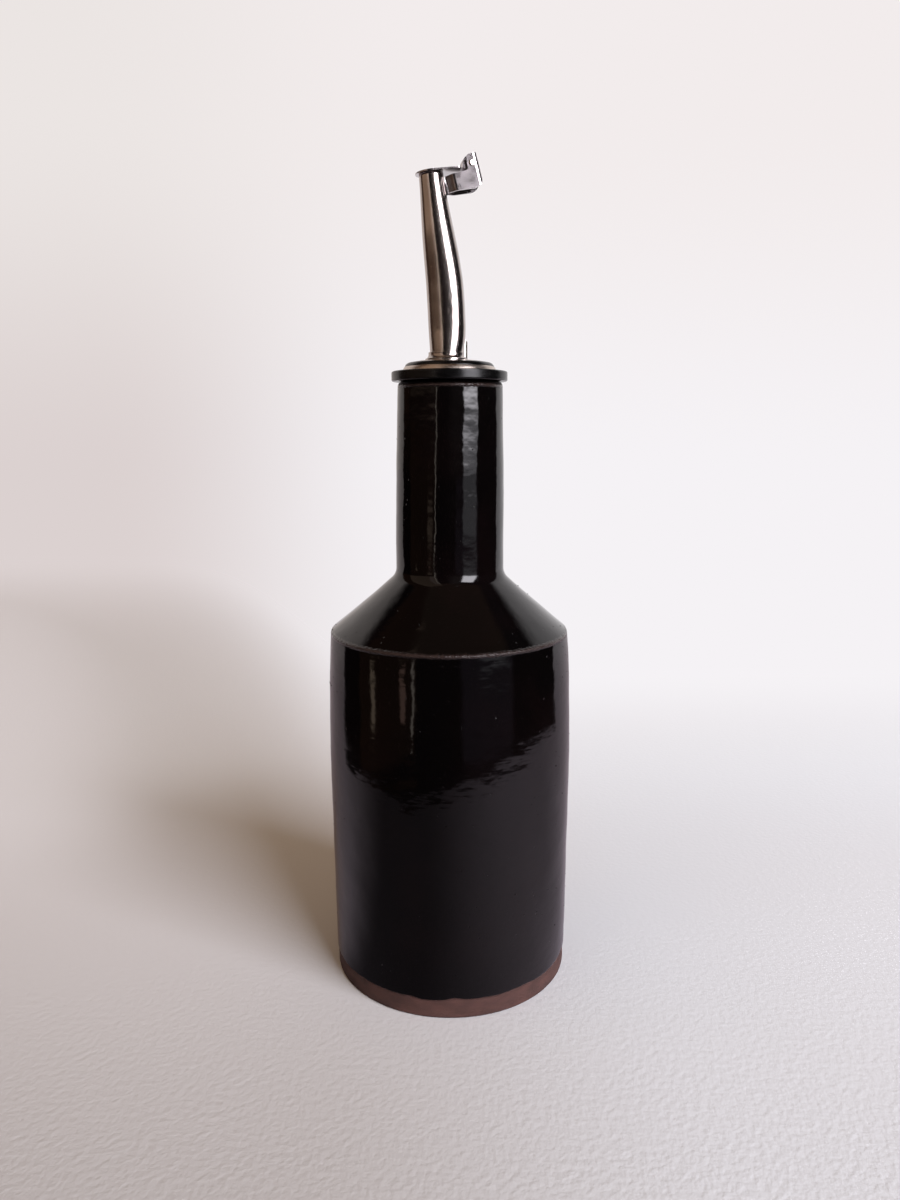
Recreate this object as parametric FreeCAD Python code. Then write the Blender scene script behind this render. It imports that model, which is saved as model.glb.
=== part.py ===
import FreeCAD, Part
import math
import os
from FreeCAD import Vector

# An oil bottle: a hand-thrown stoneware bottle with a long neck, closed by a
# rubber stopper that carries a bent steel spout with a hinged flap.
# Millimetres, +Z up, origin at the centre of the base. The spout leans to -X.

# ---- driving dimensions: the stoneware bottle ------------------------------------
FOOT_RADIUS = 38.7
FOOT_CHAMFER = 0.8
FOOT_BAND_HEIGHT = 6.6           # bare clay below the glaze
GLAZE_THICKNESS = 0.35
RECESS_RADIUS = 30.0             # turned hollow under the base
RECESS_DEPTH = 1.2
BELLY = ((39.4, 32.0), (39.95, 72.0), (39.5, 96.0))    # radius, height
SHOULDER_RADIUS = 38.4
SHOULDER_HEIGHT = 115.2
SHOULDER_EDGE = 0.9              # rounding of the sharp shoulder line
NECK_FOOT_RADIUS = 17.3
NECK_FOOT_HEIGHT = 133.2
NECK_BLEND = 2.2
NECK_MIDDLE = (17.0, 162.0)      # radius, height
LIP_RADIUS = 16.2
LIP_HEIGHT = 193.4
LIP_ROUNDING = 1.5
BORE_RADIUS = 12.0
BORE_CHAMFER = 0.8

# ---- driving dimensions: the stopper and its steel cap ---------------------------
FLANGE_RADIUS = 18.0
FLANGE_THICKNESS = 3.0
FLANGE_ROUNDING = 0.5
PLUG_LENGTH = 26.0
PLUG_ROOT_RADIUS = 10.6
PLUG_TIP_RADIUS = 9.6
RIB_COUNT = 5
RIB_HEIGHT = 2.2                 # its slope, up to the sharp sealing edge
RIB_UNDERCUT = 0.4
CAP_RADIUS = 14.7
CAP_HEIGHT = 3.4
CAP_SHEET = 0.7
CAP_SHOULDER = 2.6               # pressed rounding round the cap

# ---- driving dimensions: the spout -----------------------------------------------
SPOUT_X = -0.9                   # the straight foot stands a little off centre
SPOUT_RADIUS = 5.15
SPOUT_WALL = 0.45
MOUTH_RADIUS = 3.7
BEND_HEIGHT = 212.0
BEND_RADIUS = 116.7
LEAN = math.radians(6.9)
TAPER_START = 8.0                # along the centreline, counted from the bend
TAPER_EASE = 8.0
SPOUT_REACH = 41.7               # centreline length from the bend to the mouth
COLLAR_TOP_RADIUS = 5.6
COLLAR_FOOT_RADIUS = 6.6
COLLAR_HEIGHT = 2.4
COLLAR_FLARE = 1.4               # rounding of its waist
COLLAR_BRIM = 0.4
COLLAR_ROUNDING = 0.2
VENT_RADIUS = 1.2
VENT_BORE_RADIUS = 0.75
VENT_GAP = 0.1
VENT_BEARING = math.radians(24)  # seen from above, from +X towards +Y
VENT_TOP = 207.2
VENT_SLANT = math.radians(35)

# ---- driving dimensions: the hinge and the flap ----------------------------------
PIN_X = 6.3
PIN_Z = 256.35
PIN_RADIUS = 0.7
RIVET_RADIUS = 1.0
RIVET_HEIGHT = 0.55
RIVET_ROUNDING = 0.4
BRACKET_TILT = math.radians(15)
BRACKET_SHEET = 0.6
BRACKET_HALF_WIDTH = 3.3
BRACKET_BACK = 2.3               # outside of the folded back, from the pin
BRACKET_LOW_AT_TUBE = -6.1       # the cheeks deepen towards the back
BRACKET_LOW_AT_BACK = -7.25
BRACKET_SHELF = -1.6             # top edge of the cheeks, below the pin
BRACKET_FRONT = -9.8             # where the welded ends meet the tube
BRACKET_HEEL = 3.0               # rounding of the lowest corner
BRACKET_FOLD = 1.2               # bend radius of the strip
SHELF_CORNER = 0.6
WELD_HALF_WIDTH = 1.35           # between the two ends on the tube
WELD_LENGTH = 1.7
CHEEK_START = 3.4                # from the ends to the parallel cheeks
EAR_TOP = 2.7
EAR_FRONT = -1.5
EAR_BROW = 1.5                   # rounding over the pin, towards the flap
EAR_CORNER = 0.5
NOTCH_FLOOR = 0.75               # the back is open above this, between the ears
NOTCH_HALF_WIDTH = 2.75
FLAP_SHEET = 0.4
FLAP_HALF_WIDTH = 4.7
FLAP_FRONT = 5.1                 # from the mouth's centre to the round end
FLAP_CLEARANCE = 0.2             # over the mouth, when shut
FLAP_LENGTH = 8.1                # from the mouth's centre to the hinge end
FLAP_CORNER = 0.9
FLAP_FOLD = 0.8                  # bend radius where the curl starts
TONGUE_HALF_WIDTH = 2.2
CURL_RADIUS = 2.65
CURL_END = math.radians(115)     # where the curl stops, round the pin
CHEEK_BRACE = math.radians(130)  # where the cheek leaves the knuckle
KNUCKLE_RADIUS = 1.25
RUNNING_CLEARANCE = 0.05
SLIVER = 0.01                    # keeps a short edge between two round corners

# ---- worked out from those -------------------------------------------------------
FLANGE_TOP = LIP_HEIGHT + FLANGE_THICKNESS
CAP_TOP = FLANGE_TOP + CAP_HEIGHT
PLUG_TIP = LIP_HEIGHT - PLUG_LENGTH
VENT_DISTANCE = SPOUT_RADIUS + VENT_GAP + VENT_RADIUS
VENT_X = SPOUT_X + VENT_DISTANCE * math.cos(VENT_BEARING)
VENT_Y = VENT_DISTANCE * math.sin(VENT_BEARING)
UP = Vector(0, 0, 1)
ACROSS = Vector(0, 1, 0)


# ---- shapes used by several pieces -----------------------------------------------
def in_section(radius, height):
    """A point of a turned outline, in the plane through the bottle's axis."""
    return Vector(radius, 0, height)


def rounded_corner(before, corner, after, radius):
    """Start, middle and end of the arc that rounds one corner."""
    back = (before - corner).normalize()
    ahead = (after - corner).normalize()
    half_angle = back.getAngle(ahead) / 2
    reach = radius / math.tan(half_angle)
    centre = corner + (back + ahead).normalize() * (radius / math.sin(half_angle))
    middle = centre + (corner - centre).normalize() * radius
    return corner + back * reach, middle, corner + ahead * reach


def rounded_wire(corners, closed=True):
    """Straight runs joined by tangent arcs; corners are (point, radius)."""
    edges = []
    last = len(corners) - 1
    stops = []
    for index, (point, radius) in enumerate(corners):
        if radius == 0:
            stops.append((point, None, point))
            continue
        before = corners[index - 1][0]
        after = corners[(index + 1) % len(corners)][0]
        stops.append(rounded_corner(before, point, after, radius))
    for index, (start, middle, end) in enumerate(stops):
        if middle:
            edges.append(Part.Arc(start, middle, end).toShape())
        if index == last and not closed:
            break
        following = stops[(index + 1) % len(stops)][0]
        if end.distanceToPoint(following) > 1e-6:
            edges.append(Part.LineSegment(end, following).toShape())
    return Part.Wire(edges)


def turned(wire):
    """A solid turned round the bottle's axis from its closed outline."""
    return Part.Face(wire).revolve(Vector(), UP, 360)


def prism(wire, depth):
    """A plate centred on the XZ plane, cut to an outline in that plane."""
    face = Part.Face(wire)
    face.translate(ACROSS * (-depth / 2))
    return face.extrude(ACROSS * depth)


def rod(radius, start, end):
    """A round bar between two points."""
    return Part.makeCylinder(radius, (end - start).Length, start, end - start)


def bent_strip(path, sheet, width, across):
    """Sheet metal folded along a path, its width lying along across."""
    start = path.OrderedVertexes[0].Point
    first = path.OrderedEdges[0]
    ahead = first.tangentAt(first.FirstParameter)
    if (first.valueAt(first.FirstParameter) - start).Length > 1e-6:
        ahead = first.tangentAt(first.LastParameter) * -1
    side = ahead.cross(across).normalize() * (sheet / 2)
    edge = Vector(across) * (width / 2)
    corners = [start + side + edge, start - side + edge,
               start - side - edge, start + side - edge]
    section = rounded_wire([(corner, 0) for corner in corners])
    return path.makePipeShell([section], True, True)


# ---- the stoneware bottle --------------------------------------------------------
def make_bottle():
    """Solid inside below the plug, because nothing there can be seen."""
    edges = []

    def line(*points):
        for start, end in zip(points, points[1:]):
            edges.append(Part.LineSegment(start, end).toShape())

    def curve(*points):
        spline = Part.BSplineCurve()
        spline.interpolate(list(points))
        edges.append(spline.toShape())

    glaze_foot = in_section(FOOT_RADIUS + GLAZE_THICKNESS, FOOT_BAND_HEIGHT + GLAZE_THICKNESS)
    line(in_section(0, RECESS_DEPTH),
         in_section(RECESS_RADIUS, RECESS_DEPTH),
         in_section(RECESS_RADIUS + RECESS_DEPTH, 0),
         in_section(FOOT_RADIUS - FOOT_CHAMFER, 0),
         in_section(FOOT_RADIUS, FOOT_CHAMFER),
         in_section(FOOT_RADIUS, FOOT_BAND_HEIGHT),
         glaze_foot)

    # The shoulder cone runs from the rounded edge to the foot of the neck.
    edge_corner = in_section(SHOULDER_RADIUS, SHOULDER_HEIGHT)
    neck_corner = in_section(NECK_FOOT_RADIUS, NECK_FOOT_HEIGHT)
    belly = [in_section(*station) for station in BELLY]
    neck_middle = in_section(*NECK_MIDDLE)
    shoulder = rounded_corner(belly[-1], edge_corner, neck_corner, SHOULDER_EDGE)
    neck_foot = rounded_corner(edge_corner, neck_corner, neck_middle, NECK_BLEND)
    lip = rounded_corner(neck_middle, in_section(LIP_RADIUS, LIP_HEIGHT),
                         in_section(0, LIP_HEIGHT), LIP_ROUNDING)
    curve(glaze_foot, *belly, shoulder[0])
    edges.append(Part.Arc(*shoulder).toShape())
    line(shoulder[2], neck_foot[0])
    edges.append(Part.Arc(*neck_foot).toShape())
    curve(neck_foot[2], neck_middle, lip[0])
    edges.append(Part.Arc(*lip).toShape())

    line(lip[2],
         in_section(BORE_RADIUS + BORE_CHAMFER, LIP_HEIGHT),
         in_section(BORE_RADIUS, LIP_HEIGHT - BORE_CHAMFER),
         in_section(BORE_RADIUS, PLUG_TIP),
         in_section(0, PLUG_TIP),
         in_section(0, RECESS_DEPTH))
    return turned(Part.Wire(edges))


# ---- the rubber stopper ----------------------------------------------------------
def make_stopper():
    """Flange, ribbed plug and a boss that fills the steel cap."""
    corners = [(in_section(0, PLUG_TIP), 0),
               (in_section(PLUG_TIP_RADIUS, PLUG_TIP), 0)]
    pitch = (PLUG_LENGTH - BORE_CHAMFER) / (RIB_COUNT + 0.5)
    for rib in range(RIB_COUNT):
        low = PLUG_TIP + pitch * (rib + 0.5)
        share = (low - PLUG_TIP) / PLUG_LENGTH
        core = PLUG_TIP_RADIUS + (PLUG_ROOT_RADIUS - PLUG_TIP_RADIUS) * share
        corners += [(in_section(core, low), 0),
                    (in_section(BORE_RADIUS, low + RIB_HEIGHT), 0),
                    (in_section(core, low + RIB_HEIGHT + RIB_UNDERCUT), 0)]
    boss_radius = CAP_RADIUS - CAP_SHEET
    boss_top = CAP_TOP - CAP_SHEET
    corners += [(in_section(PLUG_ROOT_RADIUS, LIP_HEIGHT), 0),
                (in_section(FLANGE_RADIUS, LIP_HEIGHT), FLANGE_ROUNDING),
                (in_section(FLANGE_RADIUS, FLANGE_TOP), FLANGE_ROUNDING),
                (in_section(boss_radius, FLANGE_TOP), 0),
                (in_section(boss_radius, boss_top), CAP_SHOULDER - CAP_SHEET),
                (in_section(0, boss_top), 0)]
    stopper = turned(rounded_wire(corners))
    return stopper.cut(spout_body(SPOUT_RADIUS)).cut(vent_bar(VENT_RADIUS))


def make_spout_cap():
    """Pressed steel cap over the stopper, holed for spout and vent."""
    def shell(radius, top, rounding):
        corners = [(in_section(0, FLANGE_TOP), 0),
                   (in_section(radius, FLANGE_TOP), 0),
                   (in_section(radius, top), rounding),
                   (in_section(0, top), 0)]
        return turned(rounded_wire(corners))

    outside = shell(CAP_RADIUS, CAP_TOP, CAP_SHOULDER)
    inside = shell(CAP_RADIUS - CAP_SHEET, CAP_TOP - CAP_SHEET, CAP_SHOULDER - CAP_SHEET)
    cap = outside.cut(inside)
    return cap.cut(spout_body(SPOUT_RADIUS)).cut(vent_bar(VENT_RADIUS))


# ---- the spout -------------------------------------------------------------------
def spout_frame(distance):
    """Centre and direction of the spout, at a distance past the bend's start."""
    angle = min(max(distance / BEND_RADIUS, 0), LEAN)
    beyond = distance - angle * BEND_RADIUS
    direction = Vector(-math.sin(angle), 0, math.cos(angle))
    centre = Vector(SPOUT_X - BEND_RADIUS * (1 - math.cos(angle)), 0,
                    BEND_HEIGHT + BEND_RADIUS * math.sin(angle))
    return centre + direction * beyond, direction


def spout_radius(distance, foot_radius, mouth_radius):
    """The tube is parallel at its foot and tapers to its mouth."""
    def ramp(run):
        run = max(run, 0)
        if run < TAPER_EASE:
            return run * run / (2 * TAPER_EASE)
        return run - TAPER_EASE / 2

    share = ramp(distance - TAPER_START) / ramp(SPOUT_REACH - TAPER_START)
    return foot_radius + (mouth_radius - foot_radius) * share


def spout_body(foot_radius, mouth_radius=MOUTH_RADIUS):
    """The outside, or with the smaller radii the bore, of the spout tube."""
    straight = rod(foot_radius, Vector(SPOUT_X, 0, PLUG_TIP), Vector(SPOUT_X, 0, BEND_HEIGHT))
    steps = 10
    rings = []
    for step in range(steps + 1):
        distance = SPOUT_REACH * step / steps
        centre, direction = spout_frame(distance)
        radius = spout_radius(distance, foot_radius, mouth_radius)
        rings.append(Part.Wire(Part.makeCircle(radius, centre, direction)))
    return straight.fuse(Part.makeLoft(rings, True, False))


def make_spout_tube():
    bore = spout_body(SPOUT_RADIUS - SPOUT_WALL, MOUTH_RADIUS - SPOUT_WALL)
    return spout_body(SPOUT_RADIUS).cut(bore)


def make_spout_collar():
    """Flared ring that ties the tube to the cap, notched round the vent."""
    top = CAP_TOP + COLLAR_HEIGHT
    corners = [(in_section(0, CAP_TOP), 0),
               (in_section(COLLAR_FOOT_RADIUS, CAP_TOP), 0),
               (in_section(COLLAR_FOOT_RADIUS, CAP_TOP + COLLAR_BRIM), 0),
               (in_section(COLLAR_TOP_RADIUS, CAP_TOP + 2 * COLLAR_BRIM), COLLAR_FLARE),
               (in_section(COLLAR_TOP_RADIUS, top), COLLAR_ROUNDING),
               (in_section(0, top), 0)]
    ring = turned(rounded_wire(corners))
    ring.translate(Vector(SPOUT_X, 0, 0))
    return ring.cut(spout_body(SPOUT_RADIUS)).cut(vent_bar(VENT_RADIUS))


def vent_bar(radius):
    """A bar along the vent tube, from the plug's tip to its slanted top."""
    bar = rod(radius, Vector(VENT_X, VENT_Y, PLUG_TIP), Vector(VENT_X, VENT_Y, VENT_TOP))
    side = 6 * radius
    cutter = Part.makeBox(side, side, side, Vector(-side / 2, -side / 2, 0))
    cutter.rotate(Vector(), ACROSS, math.degrees(VENT_SLANT))
    cutter.translate(Vector(VENT_X - radius, VENT_Y, VENT_TOP))
    return bar.cut(cutter)


def make_vent_tube():
    return vent_bar(VENT_RADIUS).cut(vent_bar(VENT_BORE_RADIUS))


# ---- the hinge bracket, its pin and the flap -------------------------------------
def seat_at_pin(shape, tilt):
    """Turn a piece drawn round the pin at the origin and put it in place."""
    shape.rotate(Vector(), ACROSS, -math.degrees(tilt))
    shape.translate(Vector(PIN_X, 0, PIN_Z))
    return shape


def make_hinge_bracket():
    """One folded strip: two cheeks, a rounded back and ends welded to the tube."""
    middle = BRACKET_SHEET / 2
    half = BRACKET_HALF_WIDTH - middle
    back = BRACKET_BACK - middle
    height = EAR_TOP - BRACKET_LOW_AT_BACK + 1
    level = (EAR_TOP + BRACKET_LOW_AT_BACK) / 2
    bend = BRACKET_FRONT + CHEEK_START
    weld = BRACKET_FRONT + WELD_LENGTH
    gap = WELD_HALF_WIDTH
    fold = BRACKET_FOLD
    plan = [((BRACKET_FRONT, -gap), 0), ((weld, -gap), fold), ((bend, -half), fold),
            ((back, -half), fold), ((back, half), fold),
            ((bend, half), fold), ((weld, gap), fold), ((BRACKET_FRONT, gap), 0)]
    path = rounded_wire([(Vector(u, v, level), radius) for (u, v), radius in plan], False)
    strip = bent_strip(path, BRACKET_SHEET, height, UP)
    outline = [((BRACKET_FRONT, BRACKET_LOW_AT_TUBE), 0),
               ((BRACKET_BACK, BRACKET_LOW_AT_BACK), BRACKET_HEEL),
               ((BRACKET_BACK, EAR_TOP), EAR_CORNER),
               ((EAR_FRONT, EAR_TOP), EAR_BROW),
               ((EAR_FRONT, BRACKET_SHELF), SHELF_CORNER),
               ((BRACKET_FRONT, BRACKET_SHELF), 0)]
    blank = prism(rounded_wire([(in_section(*point), radius) for point, radius in outline]),
                  4 * BRACKET_HALF_WIDTH)
    notch = Part.makeBox(BRACKET_BACK, 2 * NOTCH_HALF_WIDTH, EAR_TOP,
                         Vector(BRACKET_BACK / 2, -NOTCH_HALF_WIDTH, NOTCH_FLOOR))
    bore = rod(PIN_RADIUS, ACROSS * -BRACKET_HALF_WIDTH, ACROSS * BRACKET_HALF_WIDTH)
    bracket = seat_at_pin(strip.common(blank).cut(notch).cut(bore), BRACKET_TILT)
    return bracket.cut(spout_body(SPOUT_RADIUS))


def make_hinge_pin():
    """Rivet with a low dome on each end, held in the bracket's ears."""
    seat = BRACKET_HALF_WIDTH
    reach = seat + RIVET_HEIGHT
    half_outline = [(0, reach, 0), (RIVET_RADIUS, reach, RIVET_ROUNDING),
                    (RIVET_RADIUS, seat, 0), (PIN_RADIUS, seat, 0)]
    mirrored = [(x, -y, rounding) for x, y, rounding in reversed(half_outline)]
    corners = [(Vector(x, y, 0), rounding) for x, y, rounding in half_outline + mirrored]
    pin = Part.Face(rounded_wire(corners)).revolve(Vector(), ACROSS, 360)
    return seat_at_pin(pin, 0)


def make_flap_lid():
    """Strip with a round end over the mouth, curled up to cheeks on the pin."""
    mouth, direction = spout_frame(SPOUT_REACH)
    along = Vector(math.cos(LEAN), 0, math.sin(LEAN))
    from_mouth = Vector(PIN_X, 0, PIN_Z) - mouth
    mouth_x = -from_mouth.dot(along)
    mouth_z = -from_mouth.dot(direction)
    plate = mouth_z + FLAP_CLEARANCE + FLAP_SHEET / 2
    curl = CURL_RADIUS - FLAP_SHEET / 2
    turn = math.pi - CURL_END
    crown = curl * math.tan(turn / 2)
    front = mouth_x - FLAP_FRONT
    curl_end = in_section(curl * math.cos(CURL_END), curl * math.sin(CURL_END))
    path = rounded_wire([(in_section(front, plate), 0),
                         (in_section(-curl, plate), FLAP_FOLD),
                         (in_section(-curl, crown), curl),
                         (curl_end, 0)], False)
    strip = bent_strip(path, FLAP_SHEET, 2 * FLAP_HALF_WIDTH, ACROSS)

    # Seen from above: a half-round front, parallel sides and a narrow tongue.
    hinge_end = mouth_x + FLAP_LENGTH
    side = FLAP_HALF_WIDTH
    tongue = TONGUE_HALF_WIDTH
    plan = [((front, -side), side - SLIVER), ((hinge_end, -side), FLAP_CORNER),
            ((hinge_end, -tongue), 0), ((KNUCKLE_RADIUS, -tongue), 0),
            ((KNUCKLE_RADIUS, tongue), 0), ((hinge_end, tongue), 0),
            ((hinge_end, side), FLAP_CORNER), ((front, side), side - SLIVER)]
    height = 2 * CURL_RADIUS
    outline = rounded_wire([(Vector(x, y, -height), radius) for (x, y), radius in plan])
    sheet = strip.common(Part.Face(outline).extrude(UP * (2 * height)))

    # Cheeks inside the bracket's ears carry the pin.
    brace = in_section(KNUCKLE_RADIUS * math.cos(CHEEK_BRACE),
                       KNUCKLE_RADIUS * math.sin(CHEEK_BRACE))
    cheek = prism(rounded_wire([(in_section(-curl, plate), FLAP_FOLD),
                                (in_section(-curl, crown), curl - SLIVER),
                                (curl_end, 0), (brace, 0), (in_section(0, 0), 0),
                                (in_section(0, plate), 0)]), 2 * tongue)
    knuckle = rod(KNUCKLE_RADIUS, ACROSS * -tongue, ACROSS * tongue)
    inner = tongue - FLAP_SHEET
    room = Part.makeBox(2 * height, 2 * inner, 2 * height, Vector(-curl, -inner, plate))
    cheeks = cheek.fuse(knuckle).cut(room)
    bore = rod(PIN_RADIUS + RUNNING_CLEARANCE, ACROSS * -tongue, ACROSS * tongue)
    lid = sheet.fuse(cheeks).cut(bore).removeSplitter()
    return seat_at_pin(lid, LEAN)


PIECES = {
    "bottle": make_bottle,
    "stopper": make_stopper,
    "spout_cap": make_spout_cap,
    "spout_collar": make_spout_collar,
    "spout_tube": make_spout_tube,
    "vent_tube": make_vent_tube,
    "hinge_bracket": make_hinge_bracket,
    "hinge_pin": make_hinge_pin,
    "flap_lid": make_flap_lid,
}

os.makedirs("parts", exist_ok=True)
for name, make in PIECES.items():
    piece = make()
    if len(piece.Solids) != 1 or not piece.isValid():
        raise ValueError(f"{name}: {len(piece.Solids)} solids, valid {piece.isValid()}")
    piece.Solids[0].exportStep(f"parts/{name}.step")
    box = piece.BoundBox
    print(f"{name:14s} volume {piece.Volume:10.1f}  "
          f"x {box.XMin:7.2f} {box.XMax:7.2f}  y {box.YMin:7.2f} {box.YMax:7.2f}  "
          f"z {box.ZMin:7.2f} {box.ZMax:7.2f}")
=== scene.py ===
import math

import bpy
import numpy as np
from mathutils import Matrix, Vector, noise


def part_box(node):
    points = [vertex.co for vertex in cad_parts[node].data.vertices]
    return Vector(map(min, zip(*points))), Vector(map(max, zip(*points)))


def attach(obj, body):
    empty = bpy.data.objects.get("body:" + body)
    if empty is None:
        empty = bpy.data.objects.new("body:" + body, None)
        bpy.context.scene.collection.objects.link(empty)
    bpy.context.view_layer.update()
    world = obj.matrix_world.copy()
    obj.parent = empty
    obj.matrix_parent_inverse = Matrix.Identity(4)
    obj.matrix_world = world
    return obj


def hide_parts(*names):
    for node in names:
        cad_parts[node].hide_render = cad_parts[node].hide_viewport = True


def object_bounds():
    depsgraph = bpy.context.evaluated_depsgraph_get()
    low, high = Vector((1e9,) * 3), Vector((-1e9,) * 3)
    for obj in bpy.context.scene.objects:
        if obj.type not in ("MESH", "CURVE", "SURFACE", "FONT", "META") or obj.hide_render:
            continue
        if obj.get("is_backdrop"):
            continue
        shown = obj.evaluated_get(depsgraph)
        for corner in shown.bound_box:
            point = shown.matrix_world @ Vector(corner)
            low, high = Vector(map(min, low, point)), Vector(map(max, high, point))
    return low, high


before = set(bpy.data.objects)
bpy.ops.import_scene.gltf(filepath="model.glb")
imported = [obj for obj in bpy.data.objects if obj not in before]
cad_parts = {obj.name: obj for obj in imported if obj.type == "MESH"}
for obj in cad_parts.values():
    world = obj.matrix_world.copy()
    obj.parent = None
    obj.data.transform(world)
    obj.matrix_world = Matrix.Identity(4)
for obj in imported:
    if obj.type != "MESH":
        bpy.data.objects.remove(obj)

CAD_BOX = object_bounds()

# ---- the bottle ----------------------------------------------------------------------
# Red-brown stoneware thrown on a wheel: a straight body, a cone shoulder turned to an
# edge and a long neck. It was dipped in gloss black glaze down to a finger's width
# above the foot, where the clay stays bare; hand and wheel leave it a little uneven.
MM = 0.001
LIP_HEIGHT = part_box("bottle")[1].z / MM
FOOT_RADIUS = 38.7
FOOT_ROUNDING = 0.8
RECESS_RADIUS = 30.0
RECESS_DEPTH = 1.2
GLAZE_EDGE = 6.6                  # height of the bare clay band
GLAZE_THICKNESS = 0.35
BELLY = ((39.05, 6.95), (39.35, 32.0), (39.7, 72.0), (39.35, 96.0))    # radius, height
SHOULDER = (38.4, 115.2)
SHOULDER_ROUNDING = 1.4
NECK_FOOT = (17.3, 133.2)
NECK_BLEND = 4.6
NECK = (NECK_FOOT, (17.0, 162.0), (16.2, LIP_HEIGHT))
LIP_ROUNDING = 1.5
BORE_RADIUS = 12.0
BORE_DEPTH = 26.0
ROW_STEP = 0.8
SEGMENTS = 288
TURN = math.radians(-10)          # the set and camera stand turned this far round the bottle


def linear(code):
    """A colour written as sRGB hex, in the linear values that a shader takes."""
    channels = [int(code[i:i + 2], 16) / 255 for i in (1, 3, 5)]
    return [c / 12.92 if c <= 0.04045 else ((c + 0.055) / 1.055) ** 2.4 for c in channels] + [1]


def add_node(tree, kind, inputs=None, **settings):
    """A new node with its settings; an input takes a value, a socket or a node with one output."""
    node = tree.nodes.new(kind)
    for name, value in settings.items():
        setattr(node, name, value)
    for key, value in (inputs or {}).items():
        if isinstance(value, bpy.types.Node):
            value = next(socket for socket in value.outputs if socket.enabled)
        if isinstance(value, bpy.types.NodeSocket):
            tree.links.new(value, node.inputs[key])
        else:
            node.inputs[key].default_value = value
    return node


def new_material(name):
    """An empty material, its tree, and the place on the object that its patterns follow."""
    material = bpy.data.materials.new(name)
    material.use_nodes = True
    tree = material.node_tree
    tree.nodes.clear()
    place = add_node(tree, "ShaderNodeTexCoord").outputs["Object"]
    return material, tree, place


def grain(tree, place, size, detail=2.0, seed=0.0):
    """Noise whose features have a real size in metres along X, Y and Z."""
    scaled = add_node(tree, "ShaderNodeVectorMath",
                      {0: place, 1: [1 / side for side in size]}, operation="MULTIPLY")
    cloud = add_node(tree, "ShaderNodeTexNoise",
                     {"Vector": scaled, "W": seed, "Scale": 1.0, "Detail": detail},
                     noise_dimensions="4D")
    return cloud.outputs["Fac"]


def straight(start, end, step=ROW_STEP):
    """Rows from start up to, but not including, end."""
    start, end = Vector(start), Vector(end)
    count = max(1, round((end - start).length / step))
    return [tuple(start.lerp(end, i / count)) for i in range(count)]


def rounded(before, corner, after, radius, count):
    """The rows of an arc that rounds one corner."""
    before, corner, after = Vector(before), Vector(corner), Vector(after)
    back, ahead = (before - corner).normalized(), (after - corner).normalized()
    half = back.angle(ahead) / 2
    centre = corner + (back + ahead).normalized() * (radius / math.sin(half))
    first = corner + back * (radius / math.tan(half)) - centre
    last = corner + ahead * (radius / math.tan(half)) - centre
    rows = [first.slerp(last, i / count, first) if first.length else first for i in range(count + 1)]
    return [tuple(centre + row * (radius / row.length)) for row in rows]


def smooth_rows(stations, low, high, step=ROW_STEP):
    """Rows on the smooth curve through a few stations of radius and height."""
    radii, heights = zip(*stations)
    curve = np.polyfit(heights, radii, len(stations) - 1)
    count = max(1, round((high - low) / step))
    levels = np.linspace(low, high, count + 1)
    return [(float(np.polyval(curve, level)), float(level)) for level in levels]


clay_rows = [(0.0, RECESS_DEPTH)]
clay_rows += straight((3.0, RECESS_DEPTH), (RECESS_RADIUS, RECESS_DEPTH), 9.0)
clay_rows += straight((RECESS_RADIUS, RECESS_DEPTH), (RECESS_RADIUS + RECESS_DEPTH, 0.0), 0.6)
clay_rows += straight((RECESS_RADIUS + RECESS_DEPTH, 0.0), (FOOT_RADIUS - FOOT_ROUNDING, 0.0), 3.0)
clay_rows += rounded((RECESS_RADIUS, 0.0), (FOOT_RADIUS, 0.0), (FOOT_RADIUS, GLAZE_EDGE),
                     FOOT_ROUNDING, 4)
clay_rows += straight((FOOT_RADIUS, FOOT_ROUNDING + ROW_STEP), (FOOT_RADIUS, GLAZE_EDGE))
clay_rows += [(FOOT_RADIUS, GLAZE_EDGE)]

shoulder_arc = rounded(BELLY[-1], SHOULDER, NECK_FOOT, SHOULDER_ROUNDING, 8)
neck_arc = rounded(SHOULDER, NECK_FOOT, NECK[1], NECK_BLEND, 8)
lip_arc = rounded(NECK[1], NECK[2], (0.0, LIP_HEIGHT), LIP_ROUNDING, 8)
glaze_rows = rounded((FOOT_RADIUS, GLAZE_EDGE), (BELLY[0][0], GLAZE_EDGE), BELLY[0],
                     GLAZE_THICKNESS * 0.8, 4)
glaze_rows += smooth_rows(BELLY + (shoulder_arc[0],), BELLY[0][1] + 0.5, shoulder_arc[0][1])[:-1]
glaze_rows += shoulder_arc
glaze_rows += straight(shoulder_arc[-1], neck_arc[0])[1:]
glaze_rows += neck_arc
glaze_rows += smooth_rows((neck_arc[-1], NECK[1], lip_arc[0]), neck_arc[-1][1], lip_arc[0][1])[1:-1]
glaze_rows += lip_arc
glaze_rows += straight(lip_arc[-1], (BORE_RADIUS, LIP_HEIGHT))[1:]
glaze_rows += straight((BORE_RADIUS, LIP_HEIGHT), (BORE_RADIUS, LIP_HEIGHT - BORE_DEPTH), 6.0)
glaze_rows += straight((BORE_RADIUS, LIP_HEIGHT - BORE_DEPTH), (1.0, LIP_HEIGHT - BORE_DEPTH), 6.0)
glaze_rows += [(0.0, LIP_HEIGHT - BORE_DEPTH)]

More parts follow.
